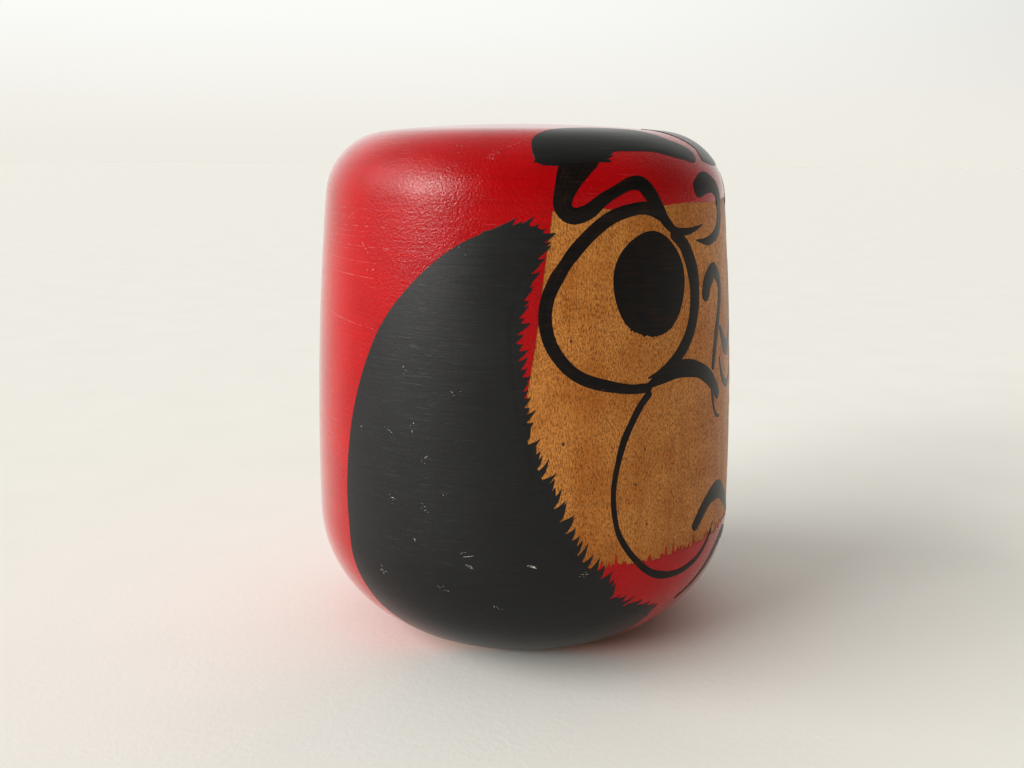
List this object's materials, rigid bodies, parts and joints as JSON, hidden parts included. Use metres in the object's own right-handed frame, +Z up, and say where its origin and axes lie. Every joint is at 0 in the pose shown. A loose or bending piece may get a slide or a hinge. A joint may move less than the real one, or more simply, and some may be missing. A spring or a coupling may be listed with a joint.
{
  "type": "daruma doll",
  "caption": "Turned wooden daruma doll: a barrel-shaped block with a red coat, a bare wood face, and black brushed brows, eyes, mouth and beard.",
  "frame": {"origin": "centre of the flat base, on the surface the doll stands on", "axes": "+Z up along the turning axis, -Y the way the face looks, +X to the right as seen from the front"},
  "size_m": [0.0784, 0.0782, 0.091],
  "materials": {
    "bare_wood": "turned and waxed fine-grained wood, honey brown, satin",
    "red_paint": "red dye and paint on turned wood, waxed, semi-gloss with fine rubbed scratches",
    "black_paint": "black paint laid over the red while turning, satin, with fine scuffs",
    "black_ink": "brushed black ink under wax, satin, a little thin where the brush ran dry"
  },
  "bodies": {
    "root": {"wood_body": "bare_wood", "red_coat": "red_paint", "mouth": "black_ink", "lower_lip": "black_ink", "nose_tip": "black_ink", "nose_base": "black_ink", "beard_left": "black_paint", "beard_right": "black_paint", "brow_left": "black_ink", "brow_right": "black_ink", "brow_curl_left": "black_ink", "brow_curl_right": "black_ink", "eye_ring_outer_left": "black_ink", "eye_ring_outer_right": "black_ink", "eye_ring_inner_left": "black_ink", "eye_ring_inner_right": "black_ink", "pupil_left": "black_ink", "pupil_right": "black_ink", "frown_left": "black_ink", "frown_right": "black_ink", "nose_side_left": "black_ink", "nose_side_right": "black_ink", "moustache_left": "black_ink", "moustache_right": "black_ink", "cheek_line_left": "black_ink", "cheek_line_right": "black_ink"}
  },
  "joints": []
}
